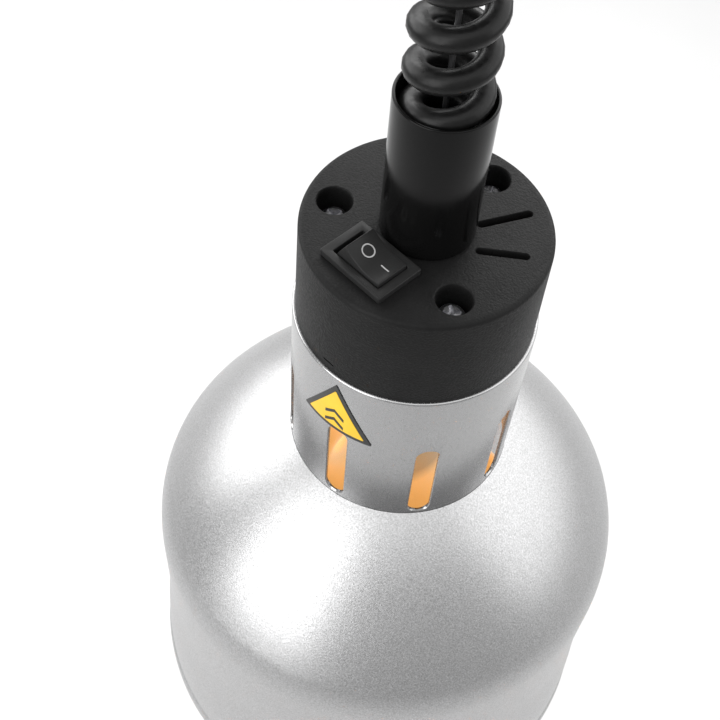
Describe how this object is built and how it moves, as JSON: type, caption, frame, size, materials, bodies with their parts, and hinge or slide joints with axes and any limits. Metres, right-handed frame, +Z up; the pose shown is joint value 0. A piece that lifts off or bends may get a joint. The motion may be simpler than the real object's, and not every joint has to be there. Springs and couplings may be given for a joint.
{
  "type": "pendant heat lamp",
  "caption": "Ceiling-hung food warming heat lamp: canopy with wire reel and swivel, curly cord round a wire, black cap with rocker switch, vented silver collar, domed silver shade, bulb.",
  "frame": {"origin": "centre of the bracket's ceiling face", "axes": "+Z up, out of the ceiling face; the rocker switch is on the -Y side of the cap"},
  "size_m": [0.1756, 0.1756, 0.5852],
  "materials": {
    "silver_shade": "satin silver paint with fine metallic speckle",
    "silver_collar": "satin silver paint",
    "black_enamel": "gloss black paint",
    "black_plastic": "matt black moulded plastic, fine spark texture",
    "gloss_black": "gloss black moulded plastic",
    "switch_black": "satin black nylon",
    "zinc_steel": "zinc plated",
    "wire_steel": "steel wire rope with a thin black coat",
    "cord_black": "smooth black cord jacket, slight sheen",
    "brass": "plain",
    "white_ceramic": "glazed",
    "white_nylon": "natural nylon",
    "lead_brown": "silicone insulation",
    "lead_blue": "silicone insulation",
    "lead_green": "silicone insulation, green and yellow",
    "bulb_nickel": "nickel plated",
    "tungsten": "coiled wire",
    "label_yellow": "printed film",
    "bulb_glass": "clear reflector bulb glass, warm tint"
  },
  "bodies": {
    "ceiling": {"ceiling_bracket": "zinc_steel", "canopy": "black_enamel", "canopy_screw_1": "zinc_steel", "canopy_screw_2": "zinc_steel", "reel_frame": "zinc_steel", "reel_axle": "zinc_steel", "reel_spring_case": "black_plastic", "reel_wire": "wire_steel", "ceiling_terminal_block": "white_ceramic", "cord_tail_upper": "cord_black", "canopy_gland": "black_plastic", "gland_nut": "black_plastic"},
    "reel": {"reel_drum": "black_plastic", "reel_wire_turns": "wire_steel"},
    "swivel": {"swivel_liner": "white_nylon"},
    "suspension": {"swivel_ball": "gloss_black", "suspension_wire": "wire_steel", "cord_neck": "cord_black", "curly_cord": "cord_black"},
    "lamp_head": {"cord_tail_lower": "cord_black", "wire_anchor_plate": "zinc_steel", "wire_ferrule": "brass", "cord_sleeve": "gloss_black", "sleeve_nut": "brass", "cap": "black_plastic", "cap_screw_1": "zinc_steel", "cap_screw_2": "zinc_steel", "cap_screw_3": "zinc_steel", "switch_housing": "switch_black", "switch_terminal_1": "brass", "switch_terminal_2": "brass", "lead_live": "lead_brown", "lead_switched": "lead_brown", "lead_neutral": "lead_blue", "lead_earth": "lead_green", "holder_plate": "zinc_steel", "holder_screw_1": "zinc_steel", "holder_screw_2": "zinc_steel", "earth_screw": "brass", "collar": "silver_collar", "shade": "silver_shade", "lamp_holder": "white_ceramic", "socket_shell": "brass", "socket_contact": "brass", "bulb_base": "bulb_nickel", "bulb_contact": "brass", "bulb_glass": "bulb_glass", "bulb_stem": "bulb_glass", "bulb_filament": "tungsten", "hot_surface_label": "label_yellow"},
    "rocker": {"switch_rocker": "switch_black"}
  },
  "joints": [
    {"name": "swing_x", "type": "hinge", "parent": "ceiling", "child": "swivel", "pos_m": [0, 0, -0.0683], "axis": [1, 0, 0], "range_deg": [-10, 10]},
    {"name": "swing_y", "type": "hinge", "parent": "swivel", "child": "suspension", "pos_m": [0, 0, -0.0683], "axis": [0, 1, 0], "range_deg": [-10, 10]},
    {"name": "height", "type": "slide", "parent": "suspension", "child": "lamp_head", "axis": [0, 0, -1], "range_m": [0, 0.4], "deforming": ["curly_cord", "suspension_wire"]},
    {"name": "rocker", "type": "hinge", "parent": "lamp_head", "child": "rocker", "pos_m": [0, -0.0215, -0.3367], "axis": [0, 1, 0], "range_deg": [-32, 0]},
    {"name": "reel_turn", "type": "hinge", "parent": "ceiling", "child": "reel", "pos_m": [-0.018, 0, -0.034], "axis": [0, 1, 0], "range_deg": [0, 1273.24]}
  ],
  "couplings": [
    {"joint": "reel_turn", "follows": "height", "rad_per_m": 55.556}
  ]
}
